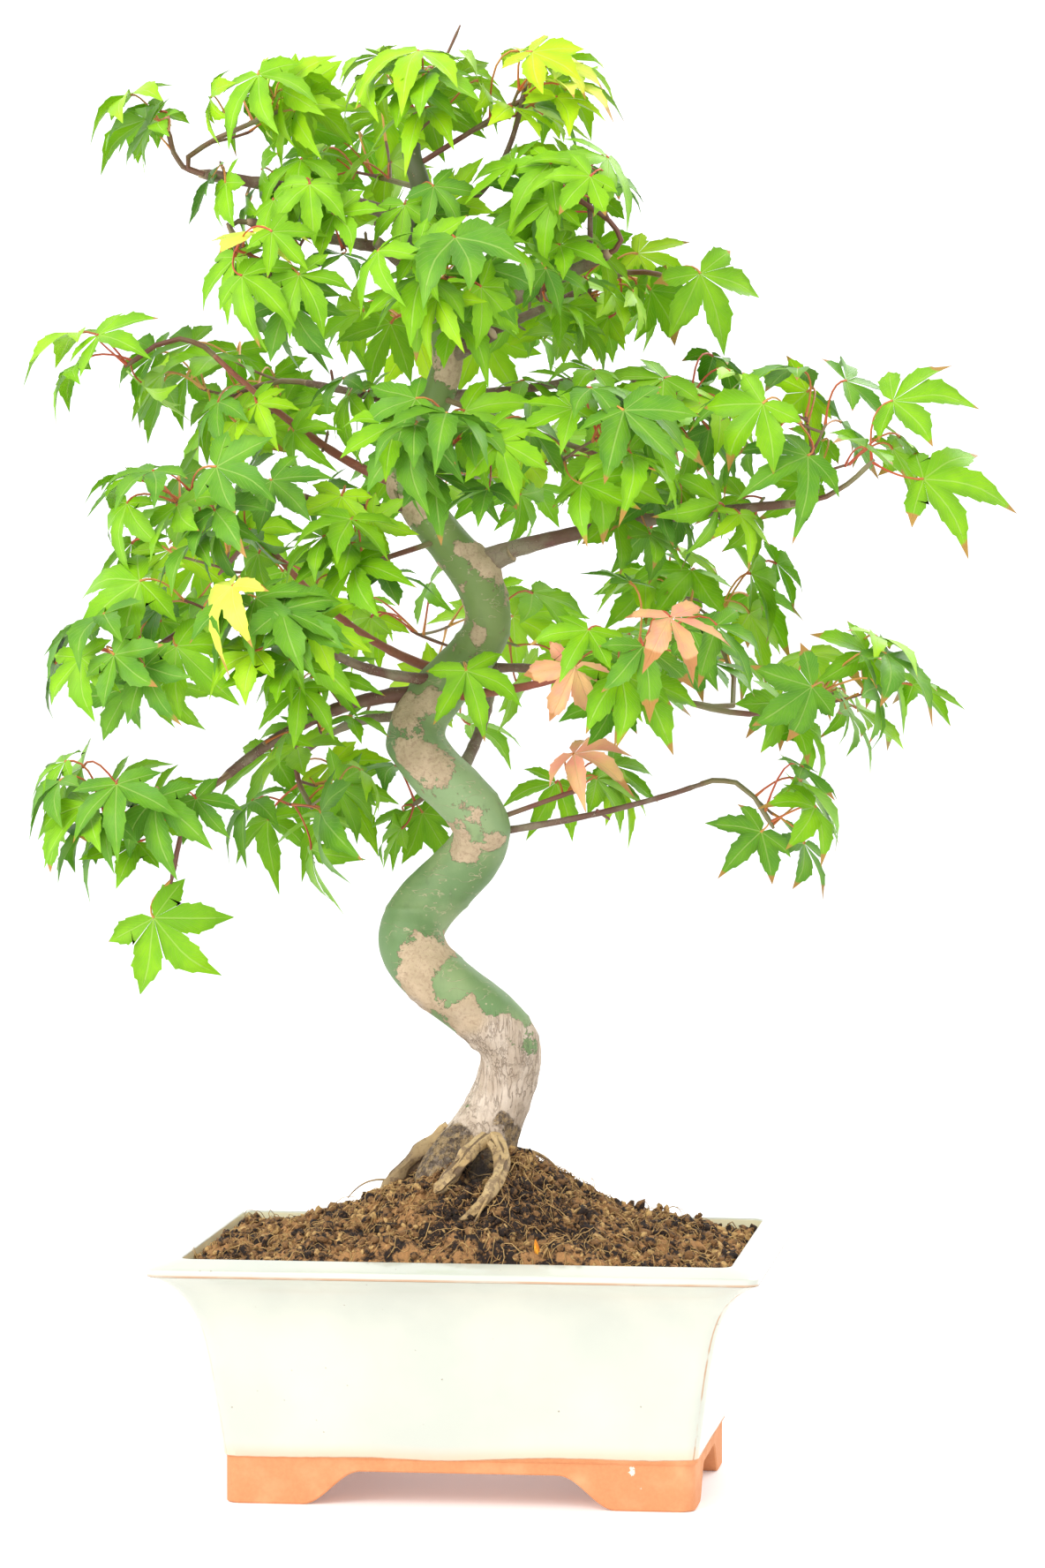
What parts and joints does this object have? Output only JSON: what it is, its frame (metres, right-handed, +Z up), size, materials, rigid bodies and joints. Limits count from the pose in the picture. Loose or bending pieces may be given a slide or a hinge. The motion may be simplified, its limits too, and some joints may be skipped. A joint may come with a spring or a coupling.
{
  "type": "maple bonsai in a pot",
  "caption": "Small potted maple tree with an S-curved trunk, tapering boughs and palmate leaves in separate masses, in a cream glazed footed pot.",
  "frame": {"origin": "under the middle of the whole bonsai's footprint, at the height that the pot's feet stand on", "axes": "+Z up; X along the pot's long side; the pot's front faces -Y"},
  "size_m": [0.4168, 0.3046, 0.6073],
  "materials": {
    "cream_glaze": "gloss",
    "potting_soil": "matte",
    "green_bark": "satin",
    "root_bark": "matte",
    "bough_bark": "satin",
    "green_leaf": "satin",
    "lime_leaf": "satin"
  },
  "bodies": {
    "root": {"bough_far_left": "bough_bark", "bough_high_left_low": "bough_bark", "bough_high_left_top": "bough_bark", "bough_high_right_low": "bough_bark", "bough_high_right_thick": "bough_bark", "bough_left_fork": "bough_bark", "bough_left_red": "bough_bark", "bough_low_left": "bough_bark", "bough_low_right": "bough_bark", "bough_lower_left": "bough_bark", "bough_mid_left": "bough_bark", "bough_rear": "bough_bark", "bough_right_dark": "bough_bark", "bough_right_inner": "bough_bark", "bough_right_main": "bough_bark", "bough_right_red": "bough_bark", "bough_upper_mid_left": "bough_bark", "foliage_far_left": "lime_leaf", "foliage_front_high": "green_leaf", "foliage_front_middle": "green_leaf", "foliage_high_left_low": "green_leaf", "foliage_high_right": "green_leaf", "foliage_high_right_rear": "green_leaf", "foliage_left_front": "green_leaf", "foliage_left_lower_inner": "green_leaf", "foliage_left_lower_outer": "green_leaf", "foliage_left_middle_front": "green_leaf", "foliage_left_middle_rear": "green_leaf", "foliage_left_upper": "green_leaf", "foliage_lone_right": "green_leaf", "foliage_low_left_hanging": "green_leaf", "foliage_low_left_inner": "green_leaf", "foliage_low_left_outer": "green_leaf", "foliage_low_right": "green_leaf", "foliage_low_right_inner": "green_leaf", "foliage_rear_high": "green_leaf", "foliage_rear_low": "green_leaf", "foliage_rear_middle": "green_leaf", "foliage_right_front": "green_leaf", "foliage_right_lower_inner": "green_leaf", "foliage_right_lower_outer": "green_leaf", "foliage_right_lower_rear": "green_leaf", "foliage_right_outer": "green_leaf", "foliage_right_tip": "lime_leaf", "foliage_right_upper": "green_leaf", "foliage_top_centre": "green_leaf", "foliage_top_left": "green_leaf", "foliage_top_left_outer": "green_leaf", "foliage_top_left_rear": "green_leaf", "foliage_top_right": "lime_leaf", "foliage_trunk_front": "green_leaf", "foliage_trunk_rear": "green_leaf", "pot": "cream_glaze", "root_front": "root_bark", "root_left_arch": "root_bark", "root_left_ridge": "root_bark", "soil": "potting_soil", "trunk": "green_bark"}
  },
  "joints": []
}
